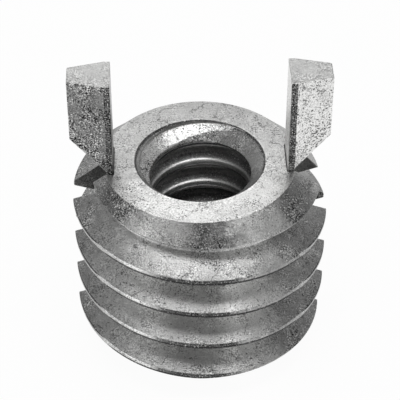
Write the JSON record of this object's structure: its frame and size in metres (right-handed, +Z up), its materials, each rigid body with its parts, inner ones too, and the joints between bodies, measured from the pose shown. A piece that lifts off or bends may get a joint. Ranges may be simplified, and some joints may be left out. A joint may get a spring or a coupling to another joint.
{
  "type": "key-locking threaded insert",
  "caption": "Threaded insert with a coarse outer thread, a threaded bore and dovetail locking keys that are driven down slots in its sides.",
  "frame": {"origin": "centre of the lower face, where the insert stands", "axes": "+Z up the bore towards the mouth and the standing keys; the keys lie along X"},
  "size_m": [0.0094, 0.0096, 0.0118],
  "materials": {
    "body_steel": "worn, pitted and scratched",
    "key_steel": "worn, with pitted sides and smoother ends"
  },
  "bodies": {
    "body": {"insert_body": "body_steel"},
    "left": {"left_key": "key_steel"},
    "right": {"right_key": "key_steel"}
  },
  "joints": [
    {"name": "left_key_drive", "type": "slide", "parent": "body", "child": "left", "axis": [0, 0, -1], "range_m": [0, 0.00394]},
    {"name": "right_key_drive", "type": "slide", "parent": "body", "child": "right", "axis": [0, 0, -1], "range_m": [0, 0.00394]}
  ]
}
